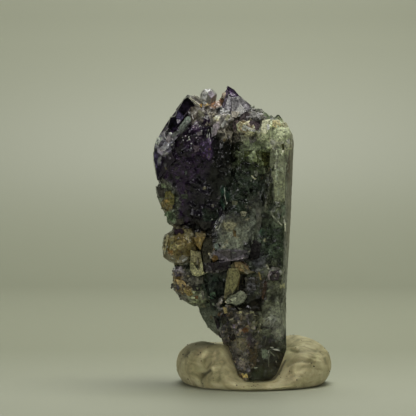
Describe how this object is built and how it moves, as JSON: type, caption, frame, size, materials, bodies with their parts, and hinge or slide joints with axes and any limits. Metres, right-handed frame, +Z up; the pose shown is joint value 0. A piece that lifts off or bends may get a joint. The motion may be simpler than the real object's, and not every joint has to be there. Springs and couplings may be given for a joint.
{
  "type": "fluorite crystal cluster in a putty ring",
  "caption": "Purple and green fluorite crystal cluster standing upright, its narrow foot pressed into a flattened ring of cream putty.",
  "frame": {"origin": "middle of the putty's flat underside, on the surface it stands on", "axes": "+Z up along the specimen, -Y towards the viewer of the front, +X to the front view's right"},
  "size_m": [0.0269, 0.0242, 0.0445],
  "materials": {
    "fluorite": "glassy crystal faces and rough cleavage, purple at the top left, green and frosted elsewhere",
    "putty": "matt, kneaded, with fingerprints and grit"
  },
  "bodies": {
    "root": {"fluorite_specimen": "fluorite", "putty_ring": "putty"}
  },
  "joints": []
}
